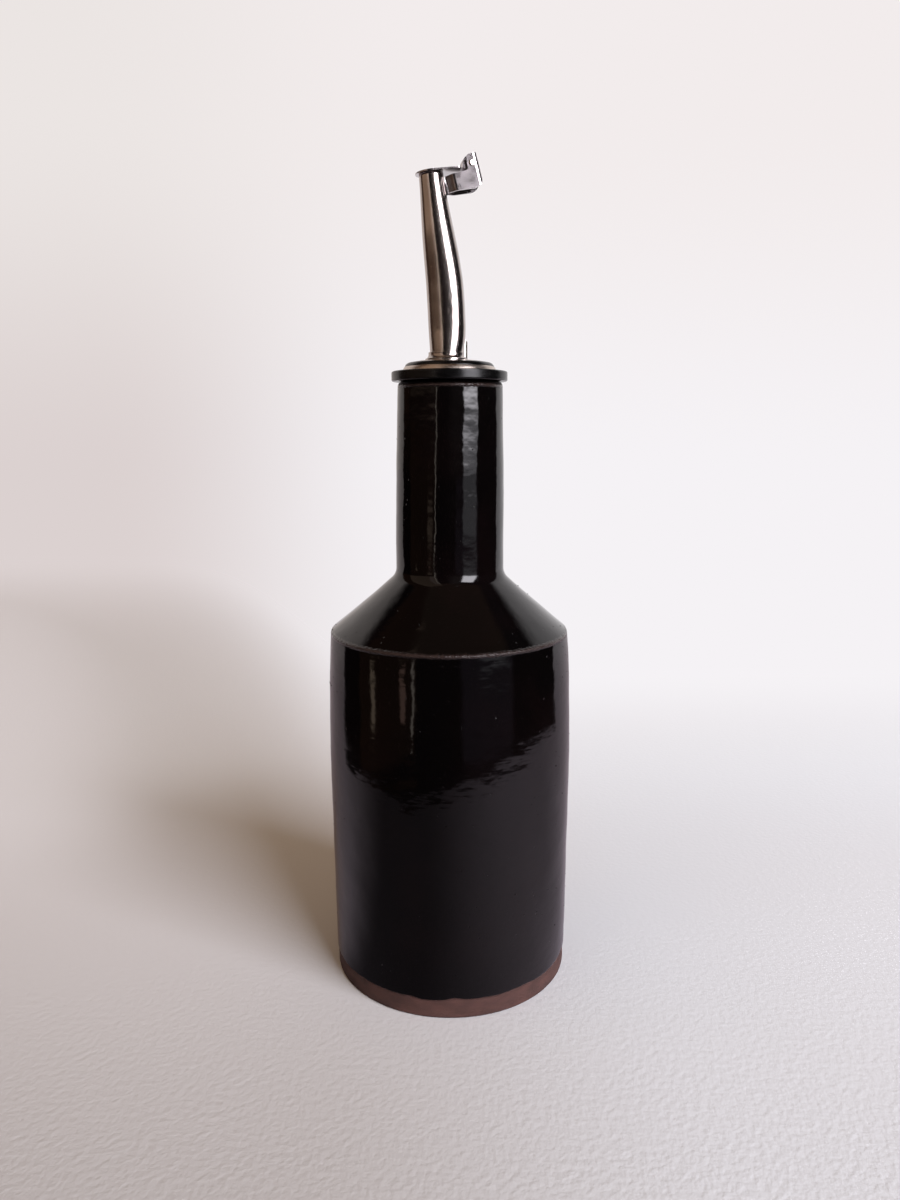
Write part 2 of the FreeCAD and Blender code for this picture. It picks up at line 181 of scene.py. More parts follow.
# The axis wanders a little from foot to lip, and no ring of the wall is quite round.
WANDER_HEIGHTS = (0.0, 60.0, 115.0, 133.0, LIP_HEIGHT)
WANDER = (0.12, 0.0, -0.3, 0.0, 0.25)
OVAL = 0.1
SAG_OF_CONE = 0.25                # the shoulder is slightly hollow
EDGE_WAVES = ((2.5, 0.45, 3.1), (7.0, 0.25, 8.4), (24.0, 0.2, 5.7))      # waves round the foot, height, seed
EDGE_RUNS = ((-11.0, -0.35, 6.0), (2.0, 0.45, 4.0), (48.0, 0.4, 30.0))    # bearing, height, width
EDGE_FADE = 14.0


def edge_lift(bearing):
    """How far the lower edge of the glaze stands above its mean height."""
    lift = 0.0
    for waves, height, seed in EDGE_WAVES:
        spot = Vector((math.cos(bearing) * waves, math.sin(bearing) * waves, seed))
        lift += height * noise.noise(spot)
    for middle, height, width in EDGE_RUNS:
        away = (math.degrees(bearing) - middle + 180) % 360 - 180
        lift += height * math.exp(-(away / width) ** 2)
    return lift


def handmade(radius, height, bearing, lift):
    """The place of one point of the wall, as the potter left it. Bearing 0 faces the room."""
    if height <= GLAZE_EDGE:
        height += lift * height / GLAZE_EDGE
    else:
        fade = max(0.0, 1 - (height - GLAZE_EDGE) / EDGE_FADE)
        height += lift * fade * fade
    if radius > BORE_RADIUS and 2.0 < height < LIP_HEIGHT:
        radius += OVAL * math.sin(2 * bearing + height / 45)
        radius += OVAL * 0.5 * math.sin(3 * bearing - height / 30)
        along = (height - SHOULDER[1]) / (NECK_FOOT[1] - SHOULDER[1])
        if 0 < along < 1:
            radius -= SAG_OF_CONE * math.sin(math.pi * along)
    shift = float(np.interp(height, WANDER_HEIGHTS, WANDER))
    across = radius * math.sin(bearing) + shift
    ahead = -radius * math.cos(bearing)
    return Matrix.Rotation(TURN, 3, "Z") @ Vector((across, ahead, height)) * MM


bearings = [2 * math.pi * i / SEGMENTS for i in range(SEGMENTS)]
lifts = [edge_lift(bearing) for bearing in bearings]
rows = clay_rows + glaze_rows
vertices = [handmade(0.0, rows[0][1], 0.0, 0.0)]
for radius, height in rows[1:-1]:
    vertices += [handmade(radius, height, b, lift) for b, lift in zip(bearings, lifts)]
vertices.append(handmade(0.0, rows[-1][1], 0.0, 0.0))

faces = []
bare = []
top = len(vertices) - 1
for side in range(SEGMENTS):
    after = (side + 1) % SEGMENTS
    faces.append((0, 1 + after, 1 + side))
    bare.append(True)
    for row in range(len(rows) - 3):
        low, high = 1 + row * SEGMENTS, 1 + (row + 1) * SEGMENTS
        faces.append((low + side, low + after, high + after, high + side))
        bare.append(row + 2 < len(clay_rows))
    last = 1 + (len(rows) - 3) * SEGMENTS
    faces.append((last + side, last + after, top))
    bare.append(False)
thrown_mesh = bpy.data.meshes.new("thrown")
thrown_mesh.from_pydata(vertices, [], faces)
thrown_mesh.attributes.new("bare", "BOOLEAN", "FACE").data.foreach_set("value", bare)
thrown = bpy.data.objects.new("thrown", thrown_mesh)
bpy.context.scene.collection.objects.link(thrown)

# Gloss black stoneware glaze, dipped and fired: a deep black glass that runs to brown
# where it is thin, with throwing lines, orange peel and pinholes under its gloss.
glaze, tree, place = new_material("black_stoneware_glaze")
height_of = add_node(tree, "ShaderNodeSeparateXYZ", {0: place}).outputs["Z"]
cloud = grain(tree, place, (22 * MM, 22 * MM, 30 * MM), seed=1.0)
tint = add_node(tree, "ShaderNodeMapRange", {"Value": cloud, "From Min": 0.4, "From Max": 0.7},
                interpolation_type="SMOOTHSTEP")
colour = add_node(tree, "ShaderNodeMix", {0: tint, 6: linear("#030202"), 7: linear("#060303")},
                  data_type="RGBA")
crumbs = grain(tree, place, (0.9 * MM, 0.9 * MM, 0.5 * MM), detail=3.0, seed=2.0)
thin = None
for edge, width in ((SHOULDER[1] - 0.2, 0.55), (LIP_HEIGHT - LIP_ROUNDING, 0.4)):
    above = add_node(tree, "ShaderNodeMath", {0: height_of, 1: edge * MM}, operation="SUBTRACT")
    away = add_node(tree, "ShaderNodeMath", {0: above}, operation="ABSOLUTE")
    raggedness = add_node(tree, "ShaderNodeMath", {0: crumbs, 1: 1.2 * MM}, operation="MULTIPLY")
    ragged = add_node(tree, "ShaderNodeMath", {0: away, 1: raggedness}, operation="ADD")
    line = add_node(tree, "ShaderNodeMapRange",
                    {"Value": ragged, "From Min": (width + 0.2) * MM, "From Max": (width + 0.9) * MM,
                     "To Min": 1.0, "To Max": 0.0}, interpolation_type="SMOOTHSTEP")
    thin = add_node(tree, "ShaderNodeMath", {0: thin, 1: line}, operation="MAXIMUM") if thin else line
shows_clay = add_node(tree, "ShaderNodeMath", {0: thin, 1: 0.2}, operation="MULTIPLY")
colour = add_node(tree, "ShaderNodeMix", {0: shows_clay, 6: colour, 7: linear("#5a4640")},
                  data_type="RGBA")
peel = grain(tree, place, (4.0 * MM, 4.0 * MM, 3.2 * MM), detail=1.5, seed=3.0)
lines = grain(tree, place, (9.0 * MM, 9.0 * MM, 1.1 * MM), detail=1.0, seed=4.0)
cells = add_node(tree, "ShaderNodeTexVoronoi", {"Vector": place, "Scale": 1 / (5 * MM)})
pinholes = add_node(tree, "ShaderNodeMapRange",
                    {"Value": cells.outputs["Distance"], "From Min": 0.03, "From Max": 0.07,
                     "To Min": -1.0, "To Max": 0.0}, interpolation_type="SMOOTHSTEP")
on_the_neck = add_node(tree, "ShaderNodeMapRange",
                       {"Value": height_of, "From Min": 128 * MM, "From Max": 140 * MM,
                        "To Min": 0.35, "To Max": 0.5}, interpolation_type="SMOOTHSTEP")
peel = add_node(tree, "ShaderNodeMath", {0: peel, 1: on_the_neck}, operation="MULTIPLY")
normal = add_node(tree, "ShaderNodeBump", {"Height": peel, "Distance": 0.16 * MM})
fewer_lines = add_node(tree, "ShaderNodeMapRange",
                       {"Value": height_of, "From Min": 128 * MM, "From Max": 140 * MM,
                        "To Min": 1.0, "To Max": 0.3}, interpolation_type="SMOOTHSTEP")
lines = add_node(tree, "ShaderNodeMath", {0: lines, 1: fewer_lines}, operation="MULTIPLY")
normal = add_node(tree, "ShaderNodeBump",
                  {"Height": lines, "Distance": 0.012 * MM, "Normal": normal})
normal = add_node(tree, "ShaderNodeBump",
                  {"Height": pinholes, "Distance": 0.05 * MM, "Normal": normal})
crumbs = add_node(tree, "ShaderNodeMath", {0: crumbs, 1: thin}, operation="MULTIPLY")
normal = add_node(tree, "ShaderNodeBump", {"Height": crumbs, "Distance": 0.5 * MM, "Normal": normal})
gloss = add_node(tree, "ShaderNodeMapRange",
                 {"Value": cloud, "From Min": 0.3, "From Max": 0.7, "To Min": 0.05, "To Max": 0.09},
                 interpolation_type="SMOOTHSTEP")
duller = add_node(tree, "ShaderNodeMath", {0: thin, 1: 0.02}, operation="MULTIPLY")
rough = add_node(tree, "ShaderNodeMath", {0: gloss, 1: duller}, operation="ADD")
shader = add_node(tree, "ShaderNodeBsdfPrincipled",
                  {"Base Color": colour, "Roughness": rough, "IOR": 1.42, "Normal": normal})
add_node(tree, "ShaderNodeOutputMaterial", {"Surface": shader})

# Bare stoneware clay: dull, toasted red-brown, with the grain of its sand and paler
# and darker patches from the kiln.
clay, tree, place = new_material("bare_stoneware_clay")
patches = grain(tree, place, (7 * MM, 7 * MM, 3 * MM), detail=3.0, seed=5.0)
sand = grain(tree, place, (0.35 * MM, 0.35 * MM, 0.35 * MM), detail=2.0, seed=6.0)
toasted = add_node(tree, "ShaderNodeMapRange", {"Value": patches, "From Min": 0.3, "From Max": 0.7},
                   interpolation_type="SMOOTHSTEP")
dark_grains = add_node(tree, "ShaderNodeMapRange",
                       {"Value": sand, "From Min": 0.58, "From Max": 0.75},
                       interpolation_type="SMOOTHSTEP")
colour = add_node(tree, "ShaderNodeMix", {0: toasted, 6: linear("#392622"), 7: linear("#4a312c")},
                  data_type="RGBA")
colour = add_node(tree, "ShaderNodeMix", {0: dark_grains, 6: colour, 7: linear("#35241f")},
                  data_type="RGBA")
normal = add_node(tree, "ShaderNodeBump", {"Height": sand, "Distance": 0.06 * MM})
shader = add_node(tree, "ShaderNodeBsdfPrincipled",
                  {"Base Color": colour, "Roughness": 0.8, "IOR": 1.5, "Normal": normal})
add_node(tree, "ShaderNodeOutputMaterial", {"Surface": shader})


def new_geometry_tree(name, inputs):
    """A geometry tree with one geometry in and out and named sizes."""
    tree = bpy.data.node_groups.new(name, "GeometryNodeTree")
    tree.interface.new_socket("Geometry", in_out="INPUT", socket_type="NodeSocketGeometry")
    for label, kind in inputs:
        tree.interface.new_socket(label, in_out="INPUT", socket_type=kind)
    tree.interface.new_socket("Geometry", in_out="OUTPUT", socket_type="NodeSocketGeometry")
    return tree, add_node(tree, "NodeGroupInput").outputs


def grown(source, tree, values, name):
    """Runs a geometry tree on an object and keeps the result as a plain mesh object."""
    modifier = source.modifiers.new(tree.name, "NODES")
    modifier.node_group = tree
    for item in tree.interface.items_tree:
        if item.in_out == "INPUT" and item.name in values:
            modifier[item.identifier] = values[item.name]
    bpy.context.view_layer.update()
    graph = bpy.context.evaluated_depsgraph_get()
    mesh = bpy.data.meshes.new_from_object(source.evaluated_get(graph))
    source.modifiers.remove(modifier)
    mesh.name = name
    piece = bpy.data.objects.new(name, mesh)
    bpy.context.scene.collection.objects.link(piece)
    return piece


def field_noise(tree, position, sizes, seed):
    """Noise from -0.5 to 0.5 over a geometry, with features of those sizes."""
    scaled = add_node(tree, "ShaderNodeVectorMath", {0: position, 1: sizes}, operation="DIVIDE")
    cloud = add_node(tree, "ShaderNodeTexNoise",
                     {"Vector": scaled, "W": seed, "Scale": 1.0, "Detail": 1.0},
                     noise_dimensions="4D")
    return add_node(tree, "ShaderNodeMath", {0: cloud.outputs["Fac"], 1: 0.5}, operation="SUBTRACT")


# Throwing lines round the wall and softer swellings under them, from fingers and wheel.
tree, given = new_geometry_tree("throwing_marks", (
    ("Line pitch", "NodeSocketFloat"), ("Line depth", "NodeSocketFloat"),
    ("Swell size", "NodeSocketFloat"), ("Swell depth", "NodeSocketFloat"),
    ("Seed", "NodeSocketFloat")))
position = add_node(tree, "GeometryNodeInputPosition").outputs[0]
line_length = add_node(tree, "ShaderNodeMath", {0: given["Line pitch"], 1: 7.0},
                       operation="MULTIPLY")
line_sizes = add_node(tree, "ShaderNodeCombineXYZ",
                      {0: line_length, 1: line_length, 2: given["Line pitch"]}).outputs[0]
swell_sizes = add_node(tree, "ShaderNodeCombineXYZ",
                       {0: given["Swell size"], 1: given["Swell size"],
                        2: given["Swell size"]}).outputs[0]
lines = field_noise(tree, position, line_sizes, given["Seed"])
lines = add_node(tree, "ShaderNodeMath", {0: lines, 1: given["Line depth"]}, operation="MULTIPLY")
swells = field_noise(tree, position, swell_sizes, given["Seed"])
swells = add_node(tree, "ShaderNodeMath", {0: swells, 1: given["Swell depth"]}, operation="MULTIPLY")
depth = add_node(tree, "ShaderNodeMath", {0: lines, 1: swells}, operation="ADD")
normal = add_node(tree, "GeometryNodeInputNormal")
offset = add_node(tree, "ShaderNodeVectorMath", {0: normal, "Scale": depth}, operation="SCALE")
height_here = add_node(tree, "ShaderNodeSeparateXYZ", {0: position}).outputs["Z"]
off_the_foot = add_node(tree, "ShaderNodeMath", {0: height_here, 1: (GLAZE_EDGE - 3) * MM},
                        operation="GREATER_THAN")
moved = add_node(tree, "GeometryNodeSetPosition",
                 {"Geometry": given["Geometry"], "Selection": off_the_foot,
                  "Offset": offset})
bare_faces = add_node(tree, "GeometryNodeInputNamedAttribute", {"Name": "bare"},
                      data_type="BOOLEAN").outputs["Attribute"]
real = add_node(tree, "GeometryNodeRealizeInstances", {"Geometry": moved})
glazed = add_node(tree, "GeometryNodeSetMaterial", {"Geometry": real, "Material": glaze})
dipped = add_node(tree, "GeometryNodeSetMaterial",
                  {"Geometry": glazed, "Selection": bare_faces, "Material": clay})
add_node(tree, "NodeGroupOutput", {"Geometry": dipped})
bottle = grown(thrown, tree, {"Line pitch": 3.4 * MM, "Line depth": 0.05 * MM,
                              "Swell size": 17 * MM, "Swell depth": 0.5 * MM,
                              "Seed": 4.0}, "stoneware_bottle")
bottle.data.polygons.foreach_set("use_smooth", [True] * len(bottle.data.polygons))
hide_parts("bottle")
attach(bottle, "bottle")

# Kiln specks: grains of ash and burst bubbles that the glaze closed over, each a tiny
# glassy wart. They are scattered over the glaze and fused into it.
tree, given = new_geometry_tree("kiln_specks", (
    ("Speck radius", "NodeSocketFloat"), ("Per square metre", "NodeSocketFloat"),
    ("Seed", "NodeSocketInt")))
position = add_node(tree, "GeometryNodeInputPosition").outputs[0]
height_here = add_node(tree, "ShaderNodeSeparateXYZ", {0: position}).outputs["Z"]
on_the_glaze = add_node(tree, "ShaderNodeMath", {0: height_here, 1: 12 * MM},
                        operation="GREATER_THAN")
scatter = add_node(tree, "GeometryNodeDistributePointsOnFaces",
                   {"Mesh": given["Geometry"], "Selection": on_the_glaze,
                    "Density": given["Per square metre"], "Seed": given["Seed"]})
wart = add_node(tree, "GeometryNodeMeshIcoSphere",
                {"Radius": given["Speck radius"], "Subdivisions": 1})
sizes = add_node(tree, "FunctionNodeRandomValue",
                 {2: 0.5, 3: 1.5, "Seed": given["Seed"]}, data_type="FLOAT").outputs[1]
heights = add_node(tree, "ShaderNodeMath", {0: sizes, 1: 0.6}, operation="MULTIPLY")
flat = add_node(tree, "ShaderNodeCombineXYZ", {0: sizes, 1: sizes, 2: heights})
specks = add_node(tree, "GeometryNodeInstanceOnPoints",
                  {"Points": scatter.outputs["Points"], "Instance": wart.outputs["Mesh"],
                   "Rotation": scatter.outputs["Rotation"], "Scale": flat})
real = add_node(tree, "GeometryNodeRealizeInstances", {"Geometry": specks})
smooth = add_node(tree, "GeometryNodeSetShadeSmooth", {"Geometry": real})
dressed = add_node(tree, "GeometryNodeSetMaterial", {"Geometry": smooth, "Material": glaze})
add_node(tree, "NodeGroupOutput", {"Geometry": dressed})
warts = grown(thrown, tree, {"Speck radius": 0.17 * MM, "Per square metre": 9000.0,
                             "Seed": 7}, "kiln_specks")
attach(warts, "bottle")
bpy.data.objects.remove(thrown)

# ---- the stopper -----------------------------------------------------------------------
# Black rubber moulded in one piece: a flange that sits on the lip and a ribbed plug
# pushed down the neck by hand. Its skin gives a low, soft gleam with a faint bloom.
rubber, tree, place = new_material("moulded_black_rubber")
bloom = grain(tree, place, (5 * MM, 5 * MM, 2 * MM), detail=3.0, seed=7.0)
skin = grain(tree, place, (0.3 * MM, 0.3 * MM, 0.3 * MM), detail=2.0, seed=8.0)
bloomed = add_node(tree, "ShaderNodeMapRange", {"Value": bloom, "From Min": 0.35, "From Max": 0.75},
                   interpolation_type="SMOOTHSTEP")
colour = add_node(tree, "ShaderNodeMix", {0: bloomed, 6: linear("#030303"), 7: linear("#070606")},
                  data_type="RGBA")
rough = add_node(tree, "ShaderNodeMapRange",
                 {"Value": bloom, "From Min": 0.3, "From Max": 0.7, "To Min": 0.2, "To Max": 0.28},
                 interpolation_type="SMOOTHSTEP")
normal = add_node(tree, "ShaderNodeBump", {"Height": skin, "Distance": 0.01 * MM})
shader = add_node(tree, "ShaderNodeBsdfPrincipled",
                  {"Base Color": colour, "Roughness": rough, "IOR": 1.42, "Normal": normal})
add_node(tree, "ShaderNodeOutputMaterial", {"Surface": shader})
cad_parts["stopper"].data.materials[0] = rubber

# ---- the steel cap ---------------------------------------------------------------------
# Stainless steel disc pressed to a shallow dome over the stopper, satin from polishing
# on a wheel, with fine rings round its axis.


def steel(name, dark, light, rough_low, rough_high, lines, depth, waviness):
    """Stainless steel: colour clouds, polishing lines drawn coarse enough to show, and dings."""
    material, tree, place = new_material(name)
    film = grain(tree, place, (6 * MM, 6 * MM, 9 * MM), detail=3.0, seed=9.0)
    scratches = grain(tree, place, lines, detail=2.0, seed=10.0)
    dings = add_node(tree, "ShaderNodeTexVoronoi", {"Vector": place, "Scale": 1 / (3.5 * MM)})
    pits = add_node(tree, "ShaderNodeMapRange",
                    {"Value": dings.outputs["Distance"], "From Min": 0.03, "From Max": 0.1,
                     "To Min": -1.0, "To Max": 0.0}, interpolation_type="SMOOTHSTEP")
    tone = add_node(tree, "ShaderNodeMapRange", {"Value": film, "From Min": 0.3, "From Max": 0.7},
                    interpolation_type="SMOOTHSTEP")
    colour = add_node(tree, "ShaderNodeMix", {0: tone, 6: linear(dark), 7: linear(light)},
                      data_type="RGBA")
    normal = add_node(tree, "ShaderNodeBump", {"Height": film, "Distance": waviness})
    normal = add_node(tree, "ShaderNodeBump",
                      {"Height": scratches, "Distance": depth, "Normal": normal})
    normal = add_node(tree, "ShaderNodeBump",
                      {"Height": pits, "Distance": 0.02 * MM, "Normal": normal})
    rough = add_node(tree, "ShaderNodeMapRange",
                     {"Value": scratches, "From Min": 0.3, "From Max": 0.7, "To Min": rough_low,
                      "To Max": rough_high}, interpolation_type="SMOOTHSTEP")
    shader = add_node(tree, "ShaderNodeBsdfPrincipled",
                      {"Base Color": colour, "Metallic": 1.0, "Roughness": rough, "Normal": normal})
    add_node(tree, "ShaderNodeOutputMaterial", {"Surface": shader})
    return material


def smoothed(stations, step, spread):
    """Rows through stations of several values each, spaced by the first, corners eased."""
    columns = list(zip(*stations))
    count = round((columns[0][-1] - columns[0][0]) / step)
    levels = np.linspace(columns[0][0], columns[0][-1], count + 1)
    window = np.hanning(spread + 2)[1:-1]
    window /= window.sum()
    rows = [levels]
    for column in columns[1:]:
        values = np.interp(levels, columns[0], column)
        padded = np.pad(values, spread // 2, mode="edge")
        rows.append(np.convolve(padded, window, mode="valid"))
    return [tuple(float(value) for value in row) for row in zip(*rows)]


def rings_to_mesh(name, rings, ends_closed):
    """A tube of quads through rings of points. Its ends close to a point or to each other."""
    count = len(rings[0])
    points = [point for ring in rings for point in ring]
    quads = []
    for row in range(len(rings) if not ends_closed else len(rings) - 1):
        low, high = row * count, (row + 1) % len(rings) * count
        for side in range(count):
            after = (side + 1) % count
            quads.append((low + side, low + after, high + after, high + side))
    if ends_closed:
        for ring, flip in ((0, True), (len(rings) - 1, False)):
            middle = sum(rings[ring], Vector()) / count
            points.append(middle)
            for side in range(count):
                pair = (ring * count + side, ring * count + (side + 1) % count)
                quads.append((*(reversed(pair) if flip else pair), len(points) - 1))
    mesh = bpy.data.meshes.new(name)
    mesh.from_pydata(points, [], quads)
    mesh.polygons.foreach_set("use_smooth", [True] * len(mesh.polygons))
    piece = bpy.data.objects.new(name, mesh)
    bpy.context.scene.collection.objects.link(piece)
    return piece


# Satin from a soft wheel: reflections melt into broad tones. Its lines are drawn coarser
# than the real ones, which are too fine to show.
satin = steel("satin_stainless_steel", "#cbbfb4", "#d8ccc1", 0.26, 0.33,
              (3.0 * MM, 3.0 * MM, 0.12 * MM), 0.002 * MM, 0.03 * MM)
cap_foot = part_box("spout_cap")[0].z
CAP_DOME = ((0.0, 14.7), (0.9, 14.25), (1.75, 13.65), (2.3, 12.95), (2.65, 12.2), (2.95, 11.0),
            (3.2, 9.0), (3.4, 6.8))
CAP_EDGE = 0.5                    # flat ring under the edge
CAP_SIDES = 240
dome = [(0.0, CAP_DOME[0][1] - CAP_EDGE)] + smoothed(CAP_DOME, 0.1, 5)
turns = [2 * math.pi * i / CAP_SIDES for i in range(CAP_SIDES)]
rings = [[Vector((radius * math.cos(turn), radius * math.sin(turn), rise)) * MM
          + Vector((0, 0, cap_foot)) for turn in turns] for rise, radius in dome]
cap = rings_to_mesh("domed_cap", rings, True)
cap.data.materials.append(satin)
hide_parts("spout_cap")
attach(cap, "bottle")

# ---- the spout tube, its collar and the vent ---------------------------------------------
# Drawn stainless tube, bent by hand and drawn down to its mouth, polished along its
# length, with a swaged collar on the cap and a thin vent tube beside it.
# Polished along its length: clear upright bands of light and dark with soft edges.
polished = steel("polished_stainless_tube", "#b8afa9", "#c8c0bb", 0.15, 0.23,
                 (0.12 * MM, 0.12 * MM, 9.0 * MM), 0.0012 * MM, 0.03 * MM)
for node in ("spout_collar", "vent_tube"):
    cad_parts[node].data.materials[0] = polished

# Height, then how far its middle stands off the axis, its mean radius and its flattening.
SPOUT = ((167.4, -0.9, 5.12, 0.0), (202.0, -0.88, 5.12, 0.0), (204.5, -0.66, 5.3, 0.2),
         (209.0, -0.68, 5.28, 0.46), (216.0, -0.98, 5.26, 0.5), (223.0, -1.47, 5.2, 0.45),
         (230.0, -2.38, 5.1, 0.26), (237.0, -3.4, 4.77, 0.1), (244.0, -4.35, 4.2, 0.05),
         (250.0, -5.1, 3.78, 0.0), (253.4, -5.5, 3.68, 0.0))
TUBE_WALL = 0.45
TUBE_SIDES = 120
FLAT_SIDE = math.radians(-5)
DINGS = ((18, 218.5, 0.07), (14, 214.5, 0.08), (-32, 208.6, 0.05))     # bearing, height, depth
DING_WIDTH = 0.55


def tube_ring(height, middle, mean, flat, slope, inward, rise):
    """One ring of the bent tube, square to its axis and pressed a little flat."""
    across = Vector((1, 0, -slope)).normalized()
    along = Vector((slope, 0, 1)).normalized()
    ring = []
    for i in range(TUBE_SIDES):
        bearing = 2 * math.pi * i / TUBE_SIDES
        reach = mean - inward - flat * math.cos(2 * (bearing - FLAT_SIDE))
        for turn, level, depth in DINGS:
            aside = (bearing - math.radians(turn) + math.pi) % (2 * math.pi) - math.pi
            gap = (aside * mean) ** 2 + (height - level) ** 2
            reach -= depth * math.exp(-gap / DING_WIDTH ** 2)
        facing = Vector((math.sin(bearing), -math.cos(bearing), 0))
        facing.rotate(Matrix.Rotation(TURN, 3, "Z"))
        spot = Vector((middle, 0, height)) + along * rise
        spot += (across * facing.x + Vector((0, facing.y, 0))) * reach
        ring.append(spot * MM)
    return ring


walk = smoothed(SPOUT, 0.7, 9)
slopes = np.gradient([row[1] for row in walk], [row[0] for row in walk])
rings = [tube_ring(*row, slope, 0.0, 0.0) for row, slope in zip(walk, slopes)]
for inward, rise in ((0.1, 0.1), (TUBE_WALL - 0.1, 0.1)):
    rings.append(tube_ring(*walk[-1], slopes[-1], inward, rise))
rings += [tube_ring(*row, slope, TUBE_WALL, 0.0)
          for row, slope in list(zip(walk, slopes))[::-1]]
spout = rings_to_mesh("bent_spout_tube", rings, False)
spout.data.materials.append(polished)
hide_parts("spout_tube")
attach(spout, "bottle")

# ---- the hinge bracket, its rivet and the flap --------------------------------------------
# Folded and stamped stainless strip, tumbled smooth. The bracket is welded to the tube
# and the flap swings on a rivet through both.
# Tumbled with stones: bright, but a little cloudy and uneven.
stamped = steel("tumbled_stainless_strip", "#b4adae", "#bfb9ba", 0.16, 0.22,
                (2.5 * MM, 1.5 * MM, 1.5 * MM), 0.002 * MM, 0.012 * MM)
for node in ("hinge_bracket", "flap_lid"):
    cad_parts[node].data.materials[0] = stamped

rivet_low, rivet_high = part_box("hinge_pin")
rivet_middle = (rivet_low + rivet_high) / 2
HEAD_RADIUS = 1.0
HEAD_HEIGHT = 0.55
HEAD_FLAT = 0.33                  # how far the hammer took the front head down at its middle
HEAD_TILT = (0.3, 0.16)           # the hammered face of the front head leans right and up
HEAD_STEPS = 8
SHANK_RADIUS = 0.68
RIVET_SIDES = 48
ball = (HEAD_RADIUS ** 2 + HEAD_HEIGHT ** 2) / (2 * HEAD_HEIGHT)
reach = (rivet_high.y - rivet_low.y) / 2 / MM
brim = math.asin(HEAD_RADIUS / ball)
steps = [brim * i / HEAD_STEPS for i in range(1, HEAD_STEPS + 1)]
head = [(ball * math.sin(step), reach - ball * (1 - math.cos(step))) for step in steps]
half_rivet = head + [(HEAD_RADIUS - 0.02, reach - HEAD_HEIGHT), (SHANK_RADIUS, reach - HEAD_HEIGHT)]
profile = half_rivet + [(radius, -level) for radius, level in reversed(half_rivet)]
rings = []
for radius, level in reversed(profile):
    ring = []
    for i in range(RIVET_SIDES):
        across = radius * math.sin(2 * math.pi * i / RIVET_SIDES)
        upward = radius * math.cos(2 * math.pi * i / RIVET_SIDES)
        hammered = reach - HEAD_FLAT - HEAD_TILT[0] * across - HEAD_TILT[1] * upward
        depth = -min(-level, hammered) if level < 0 else level
        ring.append(rivet_middle + Vector((across, depth, upward)) * MM)
    rings.append(ring)
rivet = rings_to_mesh("domed_rivet", rings, True)
rivet.data.materials.append(polished)
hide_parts("hinge_pin")
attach(rivet, "bottle")

# ---- the set: floor, daylight and camera ----------------------------------------------------
# A sheet of pale paper on a table, open room in front of it, a tall window to the right.
FLOOR_SIZE = 8.0
CAMERA_AWAY = 0.2892
CAMERA_HEIGHT = 0.1788
# The wall's colours are painted light: darker on the left, away from the window, brightest low on the right.
WALL_LOW_LEFT = "#dbd1d0"         # the wall's painted light, left to right and low to high
WALL_LOW_RIGHT = "#f5f2f5"
WALL_HIGH_LEFT = "#ebe5e3"
WALL_HIGH_RIGHT = "#f2ecec"
WALL_TURN = (-0.36, -0.02)
floor_mesh = bpy.data.meshes.new("floor")
half = FLOOR_SIZE / 2
floor_mesh.from_pydata([(-half, -half, 0), (half, -half, 0), (half, half, 0), (-half, half, 0)],
                       [], [(0, 1, 2, 3)])
floor = bpy.data.objects.new("floor", floor_mesh)
floor.rotation_euler.z = TURN
bpy.context.scene.collection.objects.link(floor)
floor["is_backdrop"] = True

# Matt pale paper with a faint tooth. Its colour holds painted shade: darker and warmer to the left, away
# from the window, and toward the front.
paper, tree, place = new_material("pale_paper")
apart = add_node(tree, "ShaderNodeSeparateXYZ", {0: place}).outputs
tooth = grain(tree, place, (2.0 * MM, 2.0 * MM, 2.0 * MM), detail=2.5, seed=11.0)
# Painted shade across the sheet: darker to the left, away from the window.
painted_falloff_side = add_node(tree, "ShaderNodeMapRange",
                     {"Value": apart["X"], "From Min": -0.04, "From Max": 0.08},
                     interpolation_type="SMOOTHSTEP")
near = add_node(tree, "ShaderNodeMix", {0: painted_falloff_side, 6: linear("#b8b1ae"), 7: linear("#d3d0d1")},
                data_type="RGBA")
middle = add_node(tree, "ShaderNodeMix", {0: painted_falloff_side, 6: linear("#d6cfcd"), 7: linear("#e4e2e4")},
                  data_type="RGBA")
far = add_node(tree, "ShaderNodeMix", {0: painted_falloff_side, 6: linear("#ebe7e7"), 7: linear("#f1f2f6")},
               data_type="RGBA")
# Painted shade at the front, painted light far back.
to_middle = add_node(tree, "ShaderNodeMapRange",
                     {"Value": apart["Y"], "From Min": -0.14, "From Max": 0.04},
                     interpolation_type="SMOOTHSTEP")
to_far = add_node(tree, "ShaderNodeMapRange",
                  {"Value": apart["Y"], "From Min": 0.02, "From Max": 0.2},
                  interpolation_type="SMOOTHSTEP")
tint = add_node(tree, "ShaderNodeMix", {0: to_middle, 6: near, 7: middle}, data_type="RGBA")
tint = add_node(tree, "ShaderNodeMix", {0: to_far, 6: tint, 7: far}, data_type="RGBA")
rays = add_node(tree, "ShaderNodeLightPath").outputs
# Painted reflection colour: in reflections the sheet takes a lilac tint.
tint = add_node(tree, "ShaderNodeMix", {0: rays["Is Glossy Ray"], 6: tint, 7: linear("#ebdde8")},
                data_type="RGBA")
nearby = add_node(tree, "ShaderNodeMapRange",
                  {"Value": apart["Y"], "From Min": -0.14, "From Max": 0.02, "To Min": 1.0,
                   "To Max": 0.35}, interpolation_type="SMOOTHSTEP")
tooth = add_node(tree, "ShaderNodeMath", {0: tooth, 1: nearby}, operation="MULTIPLY")
normal = add_node(tree, "ShaderNodeBump", {"Height": tooth, "Distance": 0.3 * MM})
sheet = add_node(tree, "ShaderNodeBsdfPrincipled",
                 {"Base Color": tint, "Roughness": 0.9, "Specular IOR Level": 0.2,
                  "Normal": normal})
